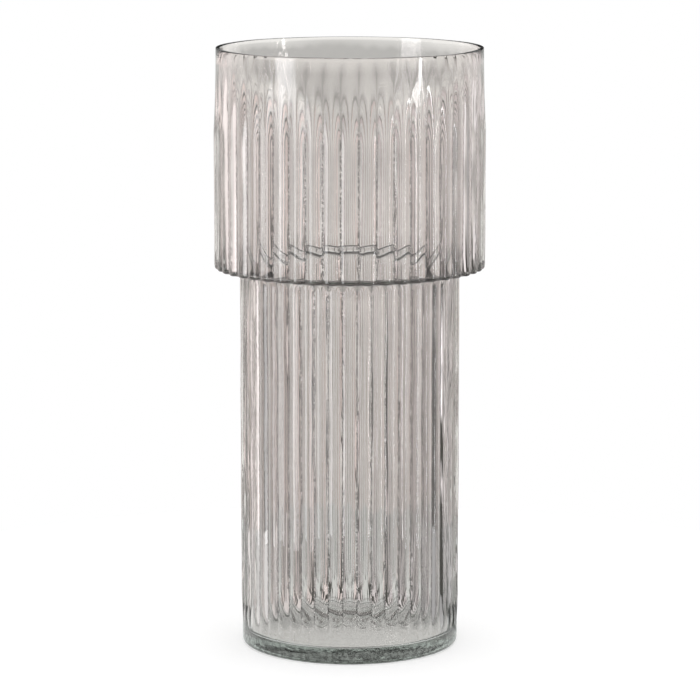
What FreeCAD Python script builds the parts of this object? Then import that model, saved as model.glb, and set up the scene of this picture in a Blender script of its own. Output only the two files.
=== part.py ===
import FreeCAD, Part
import math
import os

# A mould-blown glass vase in two tiers: a ribbed cylinder body that steps out to a wider
# ribbed collar with an open mouth. It is blown in one gather, so the pieces below are the
# zones of one glass wall, each a closed solid that meets its neighbours face to face:
# base, body wall, step ring, collar wall and lip.
#
# Frame: millimetres, +Z up, origin at the centre of the circle that the vase stands on.
# A rib crest lies on +X and on every rib pitch round from it.

# ---- driving dimensions ------------------------------------------------------------------
body_height = 254.0        # from the table to the outer corner under the step
collar_height = 146.0      # from that corner to the top of the lip
body_radius = 73.0         # over the rib crests
step_overhang = 17.0       # how far the collar's crests stand out past the body's
step_fall = 1.5            # how far the step drops from its outer corner in to the body

rib_count = 48             # the same ribs run down both tiers
body_rib_depth = 1.4       # from crest circle to valley circle
collar_rib_depth = 1.7
rib_fade_at_lip = 50.0     # the ribs grow from nothing over this height, below the lip
rib_fade_at_base = 18.0    # and again above the base

wall = 2.8                 # glass behind the rib valleys
base_thickness = 10.0      # glass under the inner floor
step_thickness = 2.0       # glass between the step's underside and the ledge inside

lip_height = 5.0           # plain band above the ribs
lip_edge_radius = 0.5      # fire-polished edges, inside and outside
heel_radius = 3.0          # outer edge of the base
floor_radius = 3.0         # inner edge between floor and wall
collar_corner_radius = 2.0  # outer edge where the collar turns under
ledge_edge_radius = 1.0    # inner edge where the ledge turns down into the body
ledge_root_radius = 1.0    # inner corner between ledge and collar wall

kick_radius = 54.0         # shallow hollow under the base, so that it stands on a ring
kick_depth = 1.2

base_rib_share = 0.5       # how much of the rib depth the plain base band stands out by
fade_steps = 6             # lofted bands in each fade
corner_steps = 5           # lofted bands round the collar's corner
cut_margin = 5.0           # how far a cutting solid runs past what it cuts

# ---- places worked out from them ---------------------------------------------------------
total_height = body_height + collar_height
collar_radius = body_radius + step_overhang
rib_pitch = 2.0 * math.pi / rib_count

body_valley = body_radius - body_rib_depth
collar_valley = collar_radius - collar_rib_depth
body_bore = body_valley - wall
collar_bore = collar_valley - wall
base_radius = body_valley + base_rib_share * body_rib_depth

base_top = base_thickness + floor_radius
ledge_height = body_height + step_thickness
neck_height = body_height - step_fall
ledge_low = ledge_height - step_fall
step_top = body_height + max(collar_corner_radius, step_thickness + ledge_root_radius)
lip_bottom = total_height - lip_height


def smooth(share):
    """Goes from 0 to 1 with no slope at either end."""
    return share * share * (3.0 - 2.0 * share)


def point(radius, angle, z):
    return FreeCAD.Vector(radius * math.cos(angle), radius * math.sin(angle), z)


def ribbed_ring(crest, valley, z):
    """A closed outline of one arc per rib, each bowing out from the valley circle to the crest circle."""
    arcs = []
    for rib in range(rib_count):
        middle = rib * rib_pitch
        start = point(valley, middle - rib_pitch / 2.0, z)
        top = point(crest, middle, z)
        end = point(valley, middle + rib_pitch / 2.0, z)
        arcs.append(Part.Arc(start, top, end).toShape())
    return Part.Wire(arcs)


def fading_rings(plain, crest, valley, z_plain, z_full):
    """Outlines that grow from a plain circle at z_plain to full ribs at z_full."""
    rings = []
    for band in range(fade_steps + 1):
        share = band / fade_steps
        grown = smooth(share)
        z = z_plain + share * (z_full - z_plain)
        rings.append(ribbed_ring(plain + grown * (crest - plain), plain + grown * (valley - plain), z))
    return rings


def lofted(rings):
    return Part.makeLoft(rings, True, True)


def turned(profile):
    """The solid that a closed profile in the XZ plane makes when it is turned about Z."""
    turn = Part.Face(Part.Wire(profile)).revolve(FreeCAD.Vector(0, 0, 0), FreeCAD.Vector(0, 0, 1), 360)
    return turn if turn.Volume > 0 else turn.reversed()


def line(a, b):
    return Part.LineSegment(FreeCAD.Vector(a[0], 0, a[1]), FreeCAD.Vector(b[0], 0, b[1])).toShape()


def quarter(centre, radius, start_angle):
    """A quarter circle in the XZ plane, anticlockwise from start_angle in degrees."""
    spots = []
    for turn in (0.0, 45.0, 90.0):
        angle = math.radians(start_angle + turn)
        spots.append(FreeCAD.Vector(centre[0] + radius * math.cos(angle), 0, centre[1] + radius * math.sin(angle)))
    return Part.Arc(*spots).toShape()


def inside_space():
    """The whole hollow of the vase as one turned solid: body, ledge and collar, open past the lip."""
    above = total_height + cut_margin
    edges = [
        line((0, above), (0, base_thickness)),
        line((0, base_thickness), (body_bore - floor_radius, base_thickness)),
        quarter((body_bore - floor_radius, base_thickness + floor_radius), floor_radius, 270.0),
        line((body_bore, base_top), (body_bore, ledge_low - ledge_edge_radius)),
        quarter((body_bore + ledge_edge_radius, ledge_low - ledge_edge_radius), ledge_edge_radius, 90.0),
        line((body_bore + ledge_edge_radius, ledge_low), (collar_bore - ledge_root_radius, ledge_height)),
        quarter((collar_bore - ledge_root_radius, ledge_height + ledge_root_radius), ledge_root_radius, 270.0),
        line((collar_bore, ledge_height + ledge_root_radius), (collar_bore, above)),
        line((collar_bore, above), (0, above)),
    ]
    return turned(edges)


def kick():
    """The shallow dome that is pressed up into the underside of the base."""
    dome_radius = (kick_radius ** 2 + kick_depth ** 2) / (2.0 * kick_depth)
    centre = FreeCAD.Vector(0, 0, kick_depth - dome_radius)
    return Part.makeSphere(dome_radius, centre)


def base():
    """Thick round bottom with a rounded heel, the inner floor and the hollow that it stands round."""
    edges = [
        line((0, 0), (base_radius - heel_radius, 0)),
        quarter((base_radius - heel_radius, heel_radius), heel_radius, 270.0),
        line((base_radius, heel_radius), (base_radius, base_top)),
        line((base_radius, base_top), (0, base_top)),
        line((0, base_top), (0, 0)),
    ]
    return turned(edges).cut(inside_space()).cut(kick())


def body_wall():
    """Ribbed cylinder between base and step. Its ribs fade in above the base."""
    rings = fading_rings(base_radius, body_radius, body_valley, base_top, base_top + rib_fade_at_base)
    rings.append(ribbed_ring(body_radius, body_valley, neck_height))
    return lofted(rings).cut(inside_space())


def step_ring():
    """Where the wall turns out: a gently dished underside, the rounded ribbed corner and the ledge inside."""
    rings = [ribbed_ring(body_radius, body_radius, neck_height)]
    for band in range(corner_steps + 1):
        angle = math.pi / 2.0 * (1.0 - band / corner_steps)
        crest = collar_radius - collar_corner_radius * (1.0 - math.cos(angle))
        depth = collar_rib_depth * math.cos(angle)
        z = body_height + collar_corner_radius * (1.0 - math.sin(angle))
        rings.append(ribbed_ring(crest, crest - depth, z))
    if step_top > body_height + collar_corner_radius:
        rings.append(ribbed_ring(collar_radius, collar_valley, step_top))
    return lofted(rings).cut(inside_space())


def collar_wall():
    """Wider ribbed cylinder above the step. Its ribs fade out below the lip."""
    rings = [ribbed_ring(collar_radius, collar_valley, step_top)]
    fade = fading_rings(collar_valley, collar_radius, collar_valley, lip_bottom, lip_bottom - rib_fade_at_lip)
    rings.extend(reversed(fade))
    return lofted(rings).cut(inside_space())


def lip():
    """Plain band at the mouth, cut level and fire-polished to round edges with a narrow flat between."""
    outer = collar_valley
    inner = collar_bore
    shoulder = total_height - lip_edge_radius
    edges = [
        line((inner, lip_bottom), (outer, lip_bottom)),
        line((outer, lip_bottom), (outer, shoulder)),
        quarter((outer - lip_edge_radius, shoulder), lip_edge_radius, 0.0),
        line((outer - lip_edge_radius, total_height), (inner + lip_edge_radius, total_height)),
        quarter((inner + lip_edge_radius, shoulder), lip_edge_radius, 90.0),
        line((inner, shoulder), (inner, lip_bottom)),
    ]
    return turned(edges)


def only_solid(shape):
    """The one solid in a shape, checked."""
    if len(shape.Solids) != 1:
        raise ValueError("expected one solid and got %d" % len(shape.Solids))
    return shape.Solids[0]


pieces = {
    "base": base,
    "body_wall": body_wall,
    "step_ring": step_ring,
    "collar_wall": collar_wall,
    "lip": lip,
}

os.makedirs("parts", exist_ok=True)
for name, make in pieces.items():
    solid = only_solid(make())
    solid.exportStep("parts/%s.step" % name)
    box = solid.BoundBox
    print("%-12s %9.0f mm3  z %6.1f to %6.1f  radius %.2f  valid %s"
          % (name, solid.Volume, box.ZMin, box.ZMax, box.XMax, solid.isValid()))
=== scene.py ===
# %% [markdown]
# # A ribbed glass vase in two tiers
#
# The vase is one piece of blown glass: a narrow ribbed body, a step, and a wider ribbed collar
# with an open mouth. The CAD model gives its size and its five zones. Here the same wall is made
# again as one closed skin, because light only bends rightly through glass with no cuts inside it.
#
# The script goes from the frame to the outline, from the outline to the ribs, from the ribs to
# the skin and its marks, and then to the glass, the studio, the table and the camera.

# %% The frame
import math

import bpy
import numpy as np
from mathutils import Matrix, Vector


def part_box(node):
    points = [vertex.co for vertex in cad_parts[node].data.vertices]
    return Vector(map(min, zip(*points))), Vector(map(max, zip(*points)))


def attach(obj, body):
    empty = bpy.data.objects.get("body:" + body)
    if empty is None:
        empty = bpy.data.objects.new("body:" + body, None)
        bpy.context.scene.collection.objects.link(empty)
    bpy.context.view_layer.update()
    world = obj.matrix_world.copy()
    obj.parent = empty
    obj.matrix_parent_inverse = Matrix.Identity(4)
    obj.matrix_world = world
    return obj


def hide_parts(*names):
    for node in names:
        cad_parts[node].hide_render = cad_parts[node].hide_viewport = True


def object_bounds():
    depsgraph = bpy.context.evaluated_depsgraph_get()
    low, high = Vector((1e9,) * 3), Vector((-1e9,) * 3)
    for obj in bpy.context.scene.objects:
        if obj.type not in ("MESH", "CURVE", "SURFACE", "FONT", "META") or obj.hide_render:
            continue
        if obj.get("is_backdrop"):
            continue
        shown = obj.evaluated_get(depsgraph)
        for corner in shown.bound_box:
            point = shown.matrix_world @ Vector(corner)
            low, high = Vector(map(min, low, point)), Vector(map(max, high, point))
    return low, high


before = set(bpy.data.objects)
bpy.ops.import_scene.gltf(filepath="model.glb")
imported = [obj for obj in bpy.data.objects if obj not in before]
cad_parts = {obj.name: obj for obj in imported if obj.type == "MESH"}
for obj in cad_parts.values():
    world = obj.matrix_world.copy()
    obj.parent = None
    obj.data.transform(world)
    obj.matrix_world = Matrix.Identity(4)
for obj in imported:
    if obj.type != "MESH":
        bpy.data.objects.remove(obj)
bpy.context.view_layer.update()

# %% [markdown]
# ## Sizes
#
# Everything that the CAD model's boxes say is read from them: the heights of the zones and the
# radius over the rib crests in each tier. What a box can't say, such as how deep the ribs are
# and how thick the wall is, is written here once, in metres.

# %% Sizes from the frame
total_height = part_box("lip")[1].z
lip_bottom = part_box("lip")[0].z
neck_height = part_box("step_ring")[0].z
collar_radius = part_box("collar_wall")[1].x
body_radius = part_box("body_wall")[1].x
base_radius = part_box("base")[1].x
print("height %.3f, neck at %.4f, collar radius %.4f, body radius %.4f"
      % (total_height, neck_height, collar_radius, body_radius))

# %% Sizes of the glass itself
MM = 0.001
rib_count = 48
body_rib_depth = 1.4 * MM
collar_rib_depth = 1.7 * MM
wall = 2.8 * MM
base_thickness = 10.0 * MM
step_thickness = 2.0 * MM
step_fall = 1.5 * MM        # the step's underside drops this much from its outer corner to the body
lip_fade = 50.0 * MM        # the collar's ribs melt away over this height
base_fade = 18.0 * MM       # and the body's over this one
kick_radius = 54.0 * MM     # shallow hollow under the base
kick_depth = 1.2 * MM

body_bore = body_radius - body_rib_depth - wall
collar_valley = collar_radius - collar_rib_depth
collar_bore = collar_valley - wall
step_height = neck_height + step_fall
ledge_height = step_height + step_thickness
ledge_low = ledge_height - step_fall
print("bores %.4f and %.4f, outer corner of the step at %.4f, ledge at %.4f"
      % (body_bore, collar_bore, step_height, ledge_height))

# %% Radii of the edges
floor_corner = 3.0 * MM
heel = 3.0 * MM
corner = 2.0 * MM
ledge_edge = 1.0 * MM
ledge_root = 1.0 * MM
neck_fillet = 1.0 * MM
lip_edge = 0.5 * MM
base_top = base_thickness + floor_corner
shoulder = total_height - lip_edge
print("the lip's edges start at %.4f, the base zone ends at %.4f" % (shoulder, base_top))

# %% [markdown]
# ## The outline
#
# Cut a vase down its middle and one half of the cut is an outline that runs from the centre of
# the underside, out round the heel, up the body, out along the step, up the collar, over the
# lip and back down inside to the centre of the floor. It could be drawn by hand as points. Here
# it is made of straight runs and quarter circles, as a turner would draw it, so that each
# radius stays a number that can be changed. Rows stand closer together where the surface bends.


# %% Straight runs
def run(start, end, rows):
    """Points on the straight line from start to end, without end: start + share (end - start)."""
    share = np.arange(rows)[:, None] / rows
    return np.array(start) + share * (np.array(end) - np.array(start))


print("a run of four rows:", run((0.0, 0.0), (1.0, 2.0), 4).tolist())


# %% Quarter circles
def bend(centre, radius, start_angle, turn, rows):
    """Points on a circle about centre, from start_angle through turn (degrees), without the last:
    (centre r + radius cos a, centre z + radius sin a)."""
    angle = np.radians(start_angle + turn * np.arange(rows) / rows)
    return np.stack([centre[0] + radius * np.cos(angle), centre[1] + radius * np.sin(angle)], 1)


print("a bend of three rows:", bend((0.0, 0.0), 1.0, -90, 90, 3).round(3).tolist())

# %% The hollow under the base
rim_gap = 0.6               # the last row stops this part of a row short of the rim


def dome(radius, height, rows):
    """A shallow hollow, from just off the centre almost to radius: z = height (1 - (r / radius)^2)."""
    r = radius * (np.arange(rows) + 1.0) / (rows + rim_gap)
    return np.stack([r, height * (1.0 - (r / radius) ** 2)], 1)


print("the hollow is %.2f mm deep in its first row" % (dome(kick_radius, kick_depth, 6)[0, 1] / MM))

# %% The outline of the outside
arch_rows = 8.0 * MM        # rows are close together over this height under the step


def outside():
    """(r, z) rows from the underside to the top of the lip, over the rib crests."""
    fade_top = base_top + base_fade
    plain_top = lip_bottom - lip_fade
    under = neck_height - neck_fillet
    return np.concatenate([
        dome(kick_radius, kick_depth, 6),
        run((kick_radius, 0.0), (base_radius - heel, 0.0), 3),
        bend((base_radius - heel, heel), heel, -90, 90, 6),
        run((base_radius, heel), (base_radius, base_top), 5),
        run((body_radius, base_top), (body_radius, fade_top), 14),
        run((body_radius, fade_top), (body_radius, under - arch_rows), 18),
        run((body_radius, under - arch_rows), (body_radius, under), 6),
        bend((body_radius + neck_fillet, under), neck_fillet, 180, -90, 4),
        run((body_radius + neck_fillet, neck_height), (collar_radius - corner, step_height), 7),
        bend((collar_radius - corner, step_height + corner), corner, -90, 90, 8),
        run((collar_radius, step_height + corner), (collar_radius, plain_top), 10),
        run((collar_radius, plain_top), (collar_radius, lip_bottom), 15),
        run((collar_radius, lip_bottom), (collar_radius, shoulder), 2),
        bend((collar_radius - lip_edge, shoulder), lip_edge, 0, 90, 5),
    ])


outer = outside()
print("outside: %d rows, widest %.4f" % (len(outer), outer[:, 0].max()))

# %% The outline of the inside
floor_centre = 4.0 * MM     # the last row is this far from the axis


def inside():
    """(r, z) rows from the top of the lip down to the floor."""
    return np.concatenate([
        run((collar_valley - lip_edge, total_height), (collar_bore + lip_edge, total_height), 2),
        bend((collar_bore + lip_edge, shoulder), lip_edge, 90, 90, 5),
        run((collar_bore, shoulder), (collar_bore, ledge_height + ledge_root), 14),
        bend((collar_bore - ledge_root, ledge_height + ledge_root), ledge_root, 0, -90, 4),
        run((collar_bore - ledge_root, ledge_height), (body_bore + ledge_edge, ledge_low), 4),
        bend((body_bore + ledge_edge, ledge_low - ledge_edge), ledge_edge, 90, 90, 4),
        run((body_bore, ledge_low - ledge_edge), (body_bore, base_top), 19),
        bend((body_bore - floor_corner, base_top), floor_corner, 0, -90, 5),
        run((body_bore - floor_corner, base_thickness), (floor_centre, base_thickness), 5),
    ])


inner = inside()
print("inside: %d rows, from %.4f down to %.4f" % (len(inner), inner[0, 1], inner[-1, 1]))

# %% [markdown]
# ## The ribs
#
# A rib mould leaves rounded lobes with narrow valleys between them. Seen from above, each lobe
# is a low arch: it stands proud by the whole rib depth at its crest and drops ever faster
# towards the valley, where the fire has rounded the sharp corner a little. A sine wave would be
# simpler, but its valleys are as wide as its crests. Towards the lip and towards the base the
# lobes melt away, and under the step they end in small round arches.

# %% The shape of a rib
crisp_valley = 0.03         # how round a full rib's valley is, in rib widths
melted_valley = 0.12        # and where the ribs have melted away


def lobe(turns, softness):
    """How far down from the crest the surface lies, from 0 at the crest to 1 in the valley.
    With u the distance from the valley in rib widths, softened to sqrt(u^2 + e^2) - e,
    the height of the lobe is 4 u (1 - u), scaled to reach 1 at the crest."""
    u = 0.5 - np.abs(turns - np.round(turns))
    soft = np.sqrt(u ** 2 + softness ** 2) - softness
    top = np.sqrt(0.25 + softness ** 2) - softness
    return 1.0 - soft * (1.0 - soft) / (top * (1.0 - top))


print("down from the crest, crest to valley:", lobe(np.linspace(0.0, 0.5, 6), crisp_valley).round(2))


# %% A smooth rise
def smooth(share):
    """From 0 to 1 with no slope at either end: 3 s^2 - 2 s^3, held at 0 and 1 outside."""
    s = np.clip(share, 0.0, 1.0)
    return s * s * (3.0 - 2.0 * s)


print("a smooth rise:", smooth(np.linspace(0.0, 1.0, 5)).round(2))

# %% [markdown]
# ## The hand of the blower
#
# No blown wall is perfectly even. Slow swells run up and down the wall, each valley wanders a
# little to one side and back, and no two ribs have quite the same depth. A random number at
# each point would look like sand. So all of it is a sum of a few long waves with whole numbers
# of waves round the vase: the skin closes on itself, and the draws come from one seeded
# generator, so that every run gives the same vase.

# %% Slow swells
random = np.random.default_rng(48)


def swell(angle, height, waves, most_round, longest, size):
    """A sum of waves: each is cos(n angle + 2 pi height / length + phase), n whole and up to
    most_round, with lengths from twice longest down to a quarter of it. Its spread is size."""
    n = random.integers(-most_round, most_round + 1, waves)
    length = longest / random.uniform(0.5, 4.0, waves)
    phase = random.uniform(0.0, 2.0 * math.pi, waves)
    total = np.zeros(np.broadcast(angle, height).shape)
    for k in range(waves):
        total += np.cos(n[k] * angle + 2.0 * math.pi * height / length[k] + phase[k])
    return size * total / math.sqrt(waves / 2.0)


valley_wander = 0.010       # how far a valley strays, in rib widths
depth_spread = 0.05         # how uneven the ribs' depths are, as a share
outer_swell = 0.06 * MM
inner_swell = 0.08 * MM
print("swells of %.2f mm outside and %.2f mm inside" % (outer_swell / MM, inner_swell / MM))

# %% [markdown]
# ## The skin
#
# The outline is carried round the axis. Columns stand closer together in the valleys, where the
# surface turns quickly, than on the crests. Each point then moves along the outline's own normal
# by the depth of its rib, so that on the collar's rounded corner the ribs turn under with it.
# The inside has no ribs, only swells.

# %% Columns round the vase
columns_per_rib = 12
crowding = 0.6              # 0 spaces the columns evenly, 1 heaps them in the valleys
even = (np.arange(rib_count * columns_per_rib) + 0.5) / columns_per_rib
turns = even + crowding * np.sin(2.0 * math.pi * even) / (2.0 * math.pi)
angle = turns * 2.0 * math.pi / rib_count
print("%d columns" % len(angle))


# %% Normals of the outline
def outline_normals(rows):
    """The unit normal of an outline walked with the glass on its left: the tangent turned
    a quarter turn to the right."""
    tangent = np.gradient(rows, axis=0)
    tangent /= np.linalg.norm(tangent, axis=1)[:, None]
    return np.stack([tangent[:, 1], -tangent[:, 0]], 1)


print("half way up the outline the normal is", outline_normals(outer)[len(outer) // 2].round(2))

# %% How far the ribs have grown
fade_start = 1.5            # above 1, the ribs under the lip start gently


def grown_under_lip(z):
    """0 at the lip's lower edge and 1 a whole fade below it: (share of the fade)^fade_start."""
    return np.clip((lip_bottom - z) / lip_fade, 0.0, 1.0) ** fade_start


def grown_over_base(z):
    """0 at the top of the base and 1 a whole fade above it, in a straight line."""
    return np.clip((z - base_top) / base_fade, 0.0, 1.0)


print("half way along the fades the ribs have grown to %.2f and %.2f"
      % (grown_under_lip(lip_bottom - lip_fade / 2.0), grown_over_base(base_top + base_fade / 2.0)))

# %% How deep the ribs are in each row
arch_height = 5.0 * MM      # the body's ribs end over this height under the step
turning = 3.0 * corner      # and the collar's over this width under the step
corner_start = 0.2 * corner  # this far above the step's corner, a row belongs to the collar
hair = 0.001 * MM           # heights closer than this count as the same


def rib_depths(rows):
    """Depth of the ribs on each outside row: full on both tiers, fading to the lip and the base
    and dying away along the step's underside and just below it."""
    r, z = rows[:, 0], rows[:, 1]
    on_collar = (z > step_height + corner_start) | (r > collar_radius - corner)
    arch = smooth((neck_height - z) / arch_height)
    turn_under = smooth((r - (collar_radius - turning)) / turning)
    collar = collar_rib_depth * np.minimum(grown_under_lip(z), turn_under)
    body = body_rib_depth * np.minimum(grown_over_base(z), arch)
    return np.where(on_collar, collar, np.where(z < neck_height - hair, body, collar))


print("deepest ribs: %.2f mm" % (rib_depths(outer).max() / MM))


# %% How far in the plain bands stand
def sink(rows):
    """The plain bands stand inside the crests: at the lip by the whole rib depth, and at the base
    down to the base's own radius."""
    z = rows[:, 1]
    high = z > step_height + corner
    low = (z > base_top - hair) & (z < step_height - corner)
    at_lip = collar_rib_depth * (1.0 - grown_under_lip(z))
    at_base = (body_radius - base_radius) * (1.0 - grown_over_base(z))
    return np.where(high, at_lip, np.where(low, at_base, 0.0))


print("the lip stands in by %.2f mm" % (sink(outer)[-1] / MM))


# %% The outside of the skin
def ribbed_outside():
    """r and z moved along the outline's normal by -(rib depth) * lobe - sink + swell. The swell is
    quiet on the underside, so that the vase stands flat."""
    z = outer[:, 1:2]
    wander = swell(angle[None, :], z, 12, 7, 0.30, valley_wander)
    uneven = 1.0 + swell(angle[None, :], z, 12, 20, 0.30, depth_spread)
    bulge = smooth(z / heel) * swell(angle[None, :], z, 12, 6, 0.20, outer_swell)
    depth = rib_depths(outer)[:, None]
    grown = depth / np.where(z > step_height, collar_rib_depth, body_rib_depth)
    softness = crisp_valley + (melted_valley - crisp_valley) * (1.0 - grown) ** 2
    moved = bulge - depth * uneven * lobe(turns[None, :] + wander, softness)
    plain = outer - np.stack([sink(outer), np.zeros(len(outer))], 1)
    return plain[:, None, :] + outline_normals(outer)[:, None, :] * moved[:, :, None]


outer_skin = ribbed_outside()
print("outside: radius from %.4f to %.4f" % (outer_skin[:, :, 0].min(), outer_skin[:, :, 0].max()))


# %% The inside of the skin, and the whole
def smooth_inside():
    """r and z moved along the outline's normal by a swell."""
    bulge = swell(angle[None, :], inner[:, 1:2], 14, 9, 0.16, inner_swell)
    return inner[:, None, :] + outline_normals(inner)[:, None, :] * bulge[:, :, None]


grid = np.concatenate([outer_skin, smooth_inside()])
rows, columns = grid.shape[:2]
radius, height = grid[:, :, 0], grid[:, :, 1]
points = np.stack([radius * np.cos(angle), radius * np.sin(angle), height], 2).reshape(-1, 3)
print("skin: %d rows of %d columns" % (rows, columns))

# %% [markdown]
# ## A mesh from the grid
#
# Neighbouring rows and columns make quads, the last column is joined to the first, and a fan of
# triangles closes each end in a pole: one in the hollow under the base, one on the inner floor.
# So the mesh is one closed body of glass, and its faces all point out of the glass. The volume
# that they enclose is a good test: were they the wrong way round, it would be negative.


# %% The mesh
def closed_mesh(name, points, rows, columns, first_pole, last_pole):
    """Quads between neighbouring rows and columns, the last column joined to the first, and a
    fan of triangles to a pole at each end."""
    first, last = rows * columns, rows * columns + 1
    spots = np.concatenate([points, [first_pole, last_pole]])
    i, j = np.meshgrid(np.arange(rows - 1), np.arange(columns), indexing="ij")
    k = (j + 1) % columns
    quads = np.stack([i * columns + j, i * columns + k, (i + 1) * columns + k, (i + 1) * columns + j], -1)
    j = np.arange(columns)
    k = (j + 1) % columns
    start = np.stack([np.full(columns, first), k, j], -1)
    top = (rows - 1) * columns
    end = np.stack([top + j, top + k, np.full(columns, last)], -1)
    mesh = bpy.data.meshes.new(name)
    mesh.from_pydata(spots.tolist(), [], quads.reshape(-1, 4).tolist() + start.tolist() + end.tolist())
    mesh.polygons.foreach_set("use_smooth", np.ones(len(mesh.polygons), bool))
    mesh.update()
    piece = bpy.data.objects.new(name, mesh)
    bpy.context.scene.collection.objects.link(piece)
    return piece


vase = closed_mesh("vase_glass", points, rows, columns, (0, 0, kick_depth), (0, 0, base_thickness))
print("vase_glass: %d faces" % len(vase.data.polygons))


# %% The volume of glass
def enclosed_volume(mesh):
    """A sixth of the sum of a . (b x c) over the triangles a, b, c."""
    mesh.calc_loop_triangles()
    corners = np.zeros(3 * len(mesh.loop_triangles), np.int32)
    mesh.loop_triangles.foreach_get("vertices", corners)
    spots = np.zeros(3 * len(mesh.vertices), np.float32)
    mesh.vertices.foreach_get("co", spots)
    a, b, c = spots.astype(float).reshape(-1, 3)[corners].reshape(-1, 3, 3).transpose(1, 0, 2)
    return (a * np.cross(b, c)).sum() / 6.0


print("%.0f cm3 of glass" % (enclosed_volume(vase.data) * 1e6))
print("%d triangles" % len(vase.data.loop_triangles))

# %% What the skin stands for in the frame
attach(vase, "root")
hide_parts("base", "body_wall", "step_ring", "collar_wall", "lip")
print("vase_glass stands for all five zones")

# %% [markdown]
# ## Marks on the skin
#
# Three places on a blown vase look darker or rougher than clear glass. The valleys are so narrow
# that they show as broken dark threads, and the lower corner of the step shows as a dark line;
# both are painted shade. And the side of the base has a chilled, slightly mottled, rougher skin,
# whose darkness is painted shade too. Grooves and pits that fine would need millions of faces, so
# each place is written on the skin as a number from 0 to 1, and the glass reads the three numbers.

# %% Where the marks are
valley_width = 0.06         # in rib widths
valley_growth = 2.5         # above 1, the threads only show where the ribs are well grown
edge_reach = 5.0 * MM       # how far in from the crests the step's mark starts
edge_soft = 3.0 * MM
edge_top = 1.3 * MM         # and how far above the corner it ends
edge_top_soft = 0.7 * MM
# The chilled band is rougher and bumpier, and its tint is darkened as painted shade.
chill_and_shade_reach = 1.5 * heel    # how far in from the side the chilled skin starts
chill_and_shade_soft = 3.0 * MM


def marks():
    """Three numbers for each point of the skin. Valley: exp(-(u / valley_width)^2), u in rib widths
    from the valley, times (how far the ribs have grown)^valley_growth. Edge: 1 on the low outer
    corner of the step. Chill and shade: 1 on the side of the base, where the skin is rougher and
    painted darker. The valley and edge numbers mark where shade is painted. The inside has none of them."""
    r, z = outer[:, 0:1], outer[:, 1:2]
    all_round = np.ones(len(turns))[None, :]
    u = 0.5 - np.abs(turns - np.round(turns))
    full = np.where(z > step_height, collar_rib_depth, body_rib_depth)
    grown = (rib_depths(outer)[:, None] / full) ** valley_growth
    valley = grown * np.exp(-(u[None, :] / valley_width) ** 2)
    far_out = smooth((r - (collar_radius - edge_reach)) / edge_soft)
    low = 1.0 - smooth((z - step_height - edge_top) / edge_top_soft)
    edge = far_out * low * (z > neck_height) * all_round
    beside = smooth((r - (base_radius - chill_and_shade_reach)) / heel)
    chill_and_shade = beside * (1.0 - smooth((z - base_thickness) / chill_and_shade_soft)) * all_round
    none = np.zeros((len(inner), len(turns)))
    return {name: np.concatenate([mark, none])
            for name, mark in (("valley", valley), ("edge", edge), ("chill_and_shade", chill_and_shade))}


for name, values in marks().items():
    mark = vase.data.attributes.new(name, "FLOAT", "POINT")
    mark.data.foreach_set("value", np.append(values.ravel(), [0.0, 0.0]).astype(np.float32))
    print("%s: strong on %.1f %% of the skin's points" % (name, 100.0 * (values > 0.5).mean()))

# %% [markdown]
# ## Small helpers for nodes
#
# A material in Blender is a graph of nodes. These helpers make one node each, or a few that
# belong together, so that the materials below read as what they are made of.


# %% One node, and a link or a value
def node(tree, kind, **settings):
    """A new node of that kind, with its plain settings and its unlinked inputs set."""
    made = tree.nodes.new(kind)
    for key, value in settings.items():
        if hasattr(made, key):
            setattr(made, key, value)
        else:
            made.inputs[key].default_value = value
    return made


def socket(tree, target, value):
    """Links a socket to another one, or sets it when the value is plain."""
    if isinstance(value, tuple):
        target.default_value = (*value, 1.0)
    elif isinstance(value, (int, float)):
        target.default_value = value
    else:
        tree.links.new(value, target)


def new_tree(owner):
    """The empty node tree of a new material or world."""
    owner.use_nodes = True
    owner.node_tree.nodes.clear()
    return owner.node_tree


print("helpers: node, socket, new_tree")


# %% Sums, rises and mixtures
def maths(tree, kind, a, b=0.0):
    """One operation on one or two numbers."""
    made = node(tree, "ShaderNodeMath", operation=kind)
    socket(tree, made.inputs[0], a)
    socket(tree, made.inputs[1], b)
    return made.outputs[0]


def rising(tree, value, low, high):
    """0 below low and 1 above high, smooth between."""
    made = node(tree, "ShaderNodeMapRange", interpolation_type="SMOOTHSTEP")
    made.inputs["From Min"].default_value = low
    made.inputs["From Max"].default_value = high
    tree.links.new(value, made.inputs["Value"])
    return made.outputs["Result"]


def falling(tree, value, low, high):
    """1 below low and 0 above high, smooth between."""
    return maths(tree, "SUBTRACT", 1.0, rising(tree, value, low, high))


def between(tree, value, low, high, soft):
    """1 from low to high and 0 outside, with soft edges."""
    past_low = rising(tree, value, low - soft, low + soft)
    return maths(tree, "MULTIPLY", past_low, falling(tree, value, high - soft, high + soft))


def mix(tree, share, a, b, blend="MIX"):
    """Colour a where share is 0 and colour b where it is 1, or a times b with blend MULTIPLY."""
    made = node(tree, "ShaderNodeMix", data_type="RGBA", blend_type=blend)
    spots = [s for s in made.inputs if s.type == "RGBA"]
    socket(tree, made.inputs["Factor"], share)
    socket(tree, spots[0], a)
    socket(tree, spots[1], b)
    return [s for s in made.outputs if s.type == "RGBA"][0]


print("helpers: maths, rising, falling, between, mix")
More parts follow.
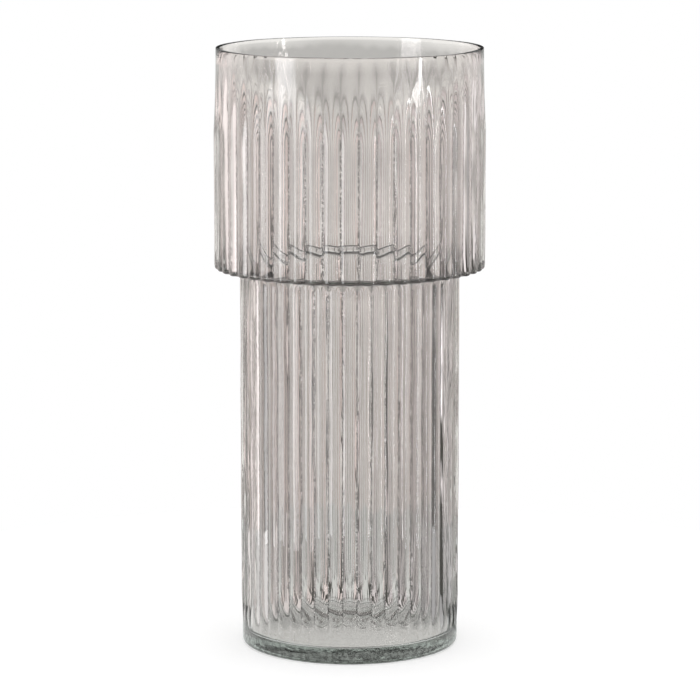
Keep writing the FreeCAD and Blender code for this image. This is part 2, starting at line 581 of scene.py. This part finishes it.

# %% [markdown]
# ## Glass
#
# The glass is clear with a faint warm grey. Two things colour it: the surface, very slightly,
# and the way through it, which takes more light the longer it is. That is why the thin wall is
# pale and the thick base is dark and a little green, with no second colour anywhere. A tinted
# surface alone would be simpler, but then the base would be as pale as the wall.
#
# The surface is fire-polished, so it is almost perfectly smooth. Faint cords run up the wall
# where the glass was drawn, so a stretched noise drives a very weak bump. On the chilled skin
# low down a finer noise mottles the tint, and the skin is rougher and more uneven. The tint also
# carries painted shade: dark threads in the valleys, a dark line on the step's lower corner, and
# the darkness of the chilled band with a darker line along its top.

# %% Colours of the glass
clear_tint = (0.835, 0.81, 0.80)
# Painted shade: near-black threads in the valleys, where narrow grooves bend in light from dark
# surroundings.
painted_valley_shade = (0.02, 0.02, 0.02)
# Painted shade: the dark line on the step's lower outer corner.
painted_step_shade = (0.06, 0.05, 0.05)
# Painted shade: the darkness of the chilled band, mottled at random between this and base_light.
painted_base_shade = (0.32, 0.31, 0.31)
base_light = (1.0, 0.99, 0.98)
painted_brim_shade = (0.25, 0.24, 0.23)     # the line along the top of the chilled band
# Painted shade: a dark line along the top of the chilled band.
deep_colour = (0.53, 0.58, 0.54)   # red is lost fastest on the way through, and green last
deep_density = 12.0                # per metre
glass_ior = 1.5
left_in_base = [math.exp(-deep_density * (1.0 - part) * base_thickness) for part in deep_colour]
print("straight through the base, light keeps", [round(part, 3) for part in left_in_base])

# %% Fineness of the noises
cord_fineness = 220.0       # clouds per metre, nearly
cord_stretch = 0.12         # up the wall the cords change this many times as fast as round it
bead_fineness = 800.0
chill_fineness = 420.0
bead_cut = (0.35, 0.55)     # noise below the first is no bead, above the second a whole one
mottle_cut = (0.42, 0.58)
brim_band = (0.25, 0.80, 0.15)     # where the chilled mark lies between these, and how softly
cord_bump = 0.10
bump_height = 0.2 * MM
chill_bump = 8.0            # the chilled skin's bump against that of the cords
chill_roughness = 0.10
print("the cords are about %.0f mm wide and %.0f mm long"
      % (1.0 / cord_fineness / MM, 1.0 / cord_fineness / cord_stretch / MM))


# %% The noises
def noise(tree, vector, fineness, **settings):
    """A cloudy number round 0.5 that depends on the place alone."""
    made = node(tree, "ShaderNodeTexNoise", Scale=fineness, **settings)
    tree.links.new(vector, made.inputs["Vector"])
    return made.outputs["Fac"]


def drawn_cords(tree, place):
    """Noise on Object coordinates that are squeezed along Z, so that it runs up the wall."""
    stretch = node(tree, "ShaderNodeMapping")
    stretch.inputs["Scale"].default_value = (1.0, 1.0, cord_stretch)
    tree.links.new(place, stretch.inputs["Vector"])
    return noise(tree, stretch.outputs["Vector"], cord_fineness, Detail=2.0)


print("helpers: noise, drawn_cords")


# %% The tint of the surface
def marked(tree, name):
    """The number that is written on the skin under that name."""
    return node(tree, "ShaderNodeAttribute", attribute_name=name).outputs["Fac"]


def tint_and_painted_shade(tree, place, chill_and_shade, grain):
    """The clear tint with painted shade: darkened in beads along the valleys and on the step's edge,
    and on the chilled skin mottled darker, with a darker brim along its top."""
    beads = rising(tree, noise(tree, place, bead_fineness), *bead_cut)
    tint = mix(tree, maths(tree, "MULTIPLY", marked(tree, "valley"), beads), clear_tint, painted_valley_shade)
    tint = mix(tree, marked(tree, "edge"), tint, painted_step_shade)
    mottled = mix(tree, rising(tree, grain, *mottle_cut), painted_base_shade, base_light)
    mottled = mix(tree, between(tree, chill_and_shade, *brim_band), mottled, painted_brim_shade)
    return mix(tree, chill_and_shade, tint, mottled)


print("helpers: marked, tint_and_painted_shade")


# %% The glass
def smoked_glass():
    material = bpy.data.materials.new("smoked_glass")
    tree = new_tree(material)
    link = tree.links.new
    glass = node(tree, "ShaderNodeBsdfPrincipled", IOR=glass_ior, **{"Transmission Weight": 1.0})
    depth = node(tree, "ShaderNodeVolumeAbsorption", Color=(*deep_colour, 1.0), Density=deep_density)
    bump = node(tree, "ShaderNodeBump", Strength=cord_bump, Distance=bump_height)
    out = node(tree, "ShaderNodeOutputMaterial")
    place = node(tree, "ShaderNodeTexCoord").outputs["Object"]
    chill_and_shade = marked(tree, "chill_and_shade")
    grain = noise(tree, place, chill_fineness, Detail=3.0)
    chilled_grain = maths(tree, "MULTIPLY", maths(tree, "MULTIPLY", chill_and_shade, grain), chill_bump)
    link(maths(tree, "ADD", drawn_cords(tree, place), chilled_grain), bump.inputs["Height"])
    link(tint_and_painted_shade(tree, place, chill_and_shade, grain), glass.inputs["Base Color"])
    link(maths(tree, "MULTIPLY", chill_and_shade, chill_roughness), glass.inputs["Roughness"])
    link(bump.outputs["Normal"], glass.inputs["Normal"])
    link(glass.outputs["BSDF"], out.inputs["Surface"])
    link(depth.outputs["Volume"], out.inputs["Volume"])
    return material


vase.data.materials.append(smoked_glass())
print("smoked_glass: %d nodes" % len(vase.data.materials[0].node_tree.nodes))

# %% [markdown]
# ## The studio
#
# Glass shows its surroundings and nothing else, so the studio is the picture. Behind the vase
# hangs a white backdrop with a row of tall panels on each side of it. Dark slits between the
# panels draw the dark lines in the ribs, and they are darkest low down. A dark bar lies just
# above the horizon behind the vase: the step guides light from there, so its edge turns dark.
# Over all of it is a grey ceiling, which lights up the side of the base. Two softboxes stand on
# the camera's side, one to the left and one to the right, and draw the white streaks.
#
# All this could be built from real cards. A world whose colour depends on direction alone does
# the same with nothing to place. To the camera itself the background is plain white.
#
# Angles are in degrees. Azimuth is 0 behind the vase, positive to the right, and 180 behind the
# camera. Elevation is 0 at the horizon.

# %% The cards round the vase
room = (0.52, 0.505, 0.50)
backdrop = (1.11, 1.12, 1.09)
backdrop_half, backdrop_soft = 16.0, 3.0
cards = [                   # name, from, to, softness, colour
    ("left gap", -100.0, -60.0, 2.0, (1.05, 1.00, 0.98)),
    ("left card", -60.0, -33.0, 1.0, (1.30, 1.20, 1.18)),
    ("left panel", -33.0, -13.0, 0.5, (1.30, 1.15, 1.11)),
    ("right panel", 13.0, 33.0, 0.5, (1.00, 0.92, 0.92)),
    ("right card", 36.0, 60.0, 1.0, (1.22, 1.16, 1.17)),
    ("right gap", 60.0, 100.0, 2.0, (0.56, 0.54, 0.54)),
]
for name, low, high, soft, shade in cards:
    print("%-12s %6.0f to %4.0f degrees, brightness %.2f" % (name, low, high, sum(shade) / 3.0))

# %% The slits between them
slits = [(7.0, 0.9), (13.5, 1.2), (20.5, 1.4), (27.5, 1.6), (35.0, 2.0)]     # middle, half width
right_slits = [(43.0, 1.6), (51.0, 1.8), (60.0, 2.5), (72.0, 4.0)]
only_low_within = 22.0      # nearer to the middle than this, a slit only shows low down
slit_soft = 0.3
slit_dark = (0.07, 0.07, 0.06)
slit_light = (0.93, 0.88, 0.85)
print("%d slits on each side and %d more on the right" % (len(slits), len(right_slits)))


# %% Colours by azimuth
def shades_around(tree, azimuth, low_down):
    """The studio's colour by azimuth: the room, then the backdrop, then each card between its two
    angles, then the slits between the panels, which are darkest low down."""
    behind = between(tree, azimuth, -backdrop_half, backdrop_half, backdrop_soft)
    colour = mix(tree, behind, room, backdrop)
    for name, low, high, soft, shade in cards:
        colour = mix(tree, between(tree, azimuth, low, high, soft), colour, shade)
    side = maths(tree, "ABSOLUTE", azimuth)
    shade = mix(tree, low_down, slit_light, slit_dark)
    for middle, half in slits:
        share = between(tree, side, middle - half, middle + half, slit_soft)
        if middle < only_low_within:
            share = maths(tree, "MULTIPLY", share, low_down)
        colour = mix(tree, share, colour, shade)
    for middle, half in right_slits:
        share = between(tree, azimuth, middle - half, middle + half, slit_soft)
        colour = mix(tree, share, colour, shade)
    return colour


def azimuth_of(tree, x, y):
    """Degrees round from +Y towards +X: arctan(x / y)."""
    return maths(tree, "MULTIPLY", maths(tree, "ARCTAN2", x, y), 180.0 / math.pi)


print("helpers: shades_around, azimuth_of")

# %% Heights in the studio
dark_bar = (0.04, 0.04, 0.04)
ceiling = (0.60, 0.60, 0.60)
dark_low = (0.20, 0.195, 0.19)
backdrop_loss = 0.46        # higher up, the backdrop is dimmer by this share
low_down_span = (5.5, 9.5)          # below the horizon
dimming_span = (-8.5, -4.8)         # elevations
plain_span = (-6.2, -5.4)           # above this, the middle of the backdrop has no slits
bar_span = (1.0, 4.0)
ceiling_span = (11.0, 14.0)
print("dark bar from %.0f degrees, ceiling from %.0f degrees" % (bar_span[0], ceiling_span[0]))

# %% Where they end at the sides
dimmed_side = (20.0, 40.0)          # azimuths to either side
plain_side = (24.0, 30.0)
bar_side = (45.0, 75.0)
front_side = (60.0, 80.0)           # beyond this, low down, the room is dim
print("the dark bar ends %.0f degrees to each side" % bar_side[1])

# %% The two softboxes
softboxes = [               # from, to, softness, colour
    (-132.0, -113.0, 2.0, (4.8, 4.8, 4.9)),
    (115.5, 118.0, 0.5, (14.0, 14.0, 14.3)),
]
box_height = (-16.0, 40.0, 4.0)     # from, to, softness
for low, high, soft, light in softboxes:
    print("softbox %.1f degrees wide, brightness %.1f" % (high - low, sum(light) / 3.0))


# %% The backdrop and the cards
def backdrop_and_cards(tree, azimuth, elevation, side, low_down):
    """The shades round the vase, dimmed higher up behind it, where the middle is plain."""
    colour = shades_around(tree, azimuth, low_down)
    loss = maths(tree, "MULTIPLY", backdrop_loss, rising(tree, elevation, *dimming_span))
    dimmed = node(tree, "ShaderNodeVectorMath", operation="SCALE")
    tree.links.new(colour, dimmed.inputs[0])
    tree.links.new(maths(tree, "SUBTRACT", 1.0, loss), dimmed.inputs["Scale"])
    colour = mix(tree, rising(tree, side, *dimmed_side), dimmed.outputs[0], colour)
    middle = falling(tree, side, *plain_side)
    plain = maths(tree, "MULTIPLY", middle, rising(tree, elevation, *plain_span))
    return mix(tree, plain, colour, tuple((1.0 - backdrop_loss) * part for part in backdrop))


print("helper: backdrop_and_cards")


# %% The bar, the ceiling and the front of the room
def bar_ceiling_and_front(tree, colour, elevation, side, low_down):
    """The dark bar behind the vase, the ceiling over all, and the dim room low down in front."""
    behind = falling(tree, side, *bar_side)
    bar = maths(tree, "MULTIPLY", behind, rising(tree, elevation, *bar_span))
    colour = mix(tree, bar, colour, dark_bar)
    colour = mix(tree, rising(tree, elevation, *ceiling_span), colour, ceiling)
    low_front = maths(tree, "MULTIPLY", rising(tree, side, *front_side), low_down)
    return mix(tree, low_front, colour, dark_low)


print("helper: bar_ceiling_and_front")

# %% The world
white = (1.0, 1.0, 1.0)
white_for_shadows = (0.9, 0.9, 0.9)


def studio_world():
    """Azimuth and elevation from the direction (x, y, z): elevation is arcsin z. The studio's
    shades, then the softboxes, then plain white for the camera and nearly so for the table."""
    world = bpy.data.worlds.new("studio")
    world.cycles.sampling_method = "NONE"
    tree = new_tree(world)
    axes = node(tree, "ShaderNodeSeparateXYZ")
    tree.links.new(node(tree, "ShaderNodeTexCoord").outputs["Generated"], axes.inputs["Vector"])
    x, y, z = axes.outputs
    azimuth = azimuth_of(tree, x, y)
    elevation = maths(tree, "MULTIPLY", maths(tree, "ARCSINE", z), 180.0 / math.pi)
    side = maths(tree, "ABSOLUTE", azimuth)
    low_down = rising(tree, maths(tree, "MULTIPLY", elevation, -1.0), *low_down_span)
    colour = backdrop_and_cards(tree, azimuth, elevation, side, low_down)
    colour = bar_ceiling_and_front(tree, colour, elevation, side, low_down)
    tall = between(tree, elevation, *box_height)
    for low, high, soft, light in softboxes:
        box = maths(tree, "MULTIPLY", between(tree, azimuth, low, high, soft), tall)
        colour = mix(tree, box, colour, light)
    paths = node(tree, "ShaderNodeLightPath")
    for_shadows = maths(tree, "GREATER_THAN", paths.outputs["Diffuse Depth"], 0.5)
    colour = mix(tree, for_shadows, colour, white_for_shadows)
    colour = mix(tree, paths.outputs["Is Camera Ray"], colour, white)
    shade = node(tree, "ShaderNodeBackground")
    out = node(tree, "ShaderNodeOutputWorld")
    tree.links.new(colour, shade.inputs["Color"])
    tree.links.new(shade.outputs["Background"], out.inputs["Surface"])
    return world


scene = bpy.context.scene
scene.world = studio_world()
print("studio: %d nodes" % len(scene.world.node_tree.nodes))

# %% How far light is followed
scene.view_settings.view_transform = "Standard"
scene.cycles.max_bounces = 28
scene.cycles.glossy_bounces = 12
scene.cycles.transmission_bounces = 20
print("light is followed through %d surfaces of glass" % scene.cycles.transmission_bounces)

# %% [markdown]
# ## The table
#
# A round, pale table top. The camera sees it nearly as white as the background, with a faint
# shadow where the vase stands. Light that comes through the glass sees a painted reflection on
# it instead: the studio's shades laid out on it, a little cooler, as a glossy table would mirror
# what stands round it, given off as light. In front of the vase it is dim, a painted shade. A
# plain white disc would be simpler, but it would wash out the lines low in the body.

# %% The table top
table_radius = 0.43
table_drop = 0.05 * MM      # the table lies this far under the vase
sides = 128
around = 2.0 * math.pi * np.arange(sides) / sides
rim = [table_radius * np.cos(around), table_radius * np.sin(around), np.full(sides, -table_drop)]
floor_mesh = bpy.data.meshes.new("table_top")
floor_mesh.from_pydata(np.stack(rim, 1).tolist(), [], [list(range(sides))])
floor = bpy.data.objects.new("table_top", floor_mesh)
scene.collection.objects.link(floor)
floor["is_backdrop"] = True
print("table top: %.2f m across" % (2.0 * table_radius))

# %% What the table looks like
paper_white = 0.80
paper_glow = 0.42           # keeps the table nearly as white as the background
painted_reflection_share = 0.95       # how bright the studio is on the table, through the glass
cool_cast = (0.95, 0.99, 1.0)
shades_start = (0.05, 0.12)         # metres from the axis
front_span = (-0.075, -0.055)       # metres along Y
print("the table keeps %.0f %% of the studio's light" % (100.0 * painted_reflection_share))


# %% The studio on the table
def painted_reflection_studio(tree):
    """A painted reflection: the backdrop's colour near the axis and the studio's shades by azimuth
    further out, all a little cooler, and dim in front, a painted shade. The distance from the axis
    is sqrt(x^2 + y^2)."""
    axes = node(tree, "ShaderNodeSeparateXYZ")
    tree.links.new(node(tree, "ShaderNodeTexCoord").outputs["Object"], axes.inputs[0])
    x, y, z = axes.outputs
    squares = maths(tree, "ADD", maths(tree, "POWER", x, 2.0), maths(tree, "POWER", y, 2.0))
    far = rising(tree, maths(tree, "SQRT", squares), *shades_start)
    colour = mix(tree, far, backdrop, shades_around(tree, azimuth_of(tree, x, y), 1.0))
    colour = mix(tree, 1.0, colour, cool_cast, blend="MULTIPLY")
    return mix(tree, rising(tree, y, *front_span), dark_low, colour)


print("helper: painted_reflection_studio")


# %% The table's material
def pale_table():
    material = bpy.data.materials.new("pale_table")
    tree = new_tree(material)
    link = tree.links.new
    paper = node(tree, "ShaderNodeBsdfDiffuse", Color=(paper_white, paper_white, paper_white, 1.0))
    glow = node(tree, "ShaderNodeEmission", Strength=paper_glow)
    seen = node(tree, "ShaderNodeAddShader")
    painted_reflection = node(tree, "ShaderNodeEmission", Strength=painted_reflection_share)
    paths = node(tree, "ShaderNodeLightPath")
    choose = node(tree, "ShaderNodeMixShader")
    out = node(tree, "ShaderNodeOutputMaterial")
    link(painted_reflection_studio(tree), painted_reflection.inputs["Color"])
    link(paper.outputs[0], seen.inputs[0])
    link(glow.outputs[0], seen.inputs[1])
    link(paths.outputs["Is Camera Ray"], choose.inputs[0])
    link(painted_reflection.outputs[0], choose.inputs[1])
    link(seen.outputs[0], choose.inputs[2])
    link(choose.outputs[0], out.inputs["Surface"])
    return material


floor_mesh.materials.append(pale_table())
print("pale_table: %d nodes" % len(floor_mesh.materials[0].node_tree.nodes))

# %% [markdown]
# ## Camera
#
# A long lens, from well back and a little above, so that the mouth shows as a narrow ellipse
# and the sides stay nearly upright.

# %% The camera
distance = 2.385
eye_height = 0.597
pitch_down = 9.5
lens = bpy.data.cameras.new("camera")
lens.lens = 186.4
lens.sensor_width = 36.0
lens.shift_x = 0.0003
lens.clip_start = 0.05
lens.clip_end = 50.0
camera = bpy.data.objects.new("camera", lens)
camera.location = (0.0, -distance, eye_height)
camera.rotation_euler = (math.radians(90.0 - pitch_down), 0.0, 0.0)
scene.collection.objects.link(camera)
scene.camera = camera
print("camera %.3f m back and %.3f m up, looking %.1f degrees down" % (distance, eye_height, pitch_down))

# %% The size of what is shown
low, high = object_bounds()
print("visual box from", [round(v, 4) for v in low], "to", [round(v, 4) for v in high])
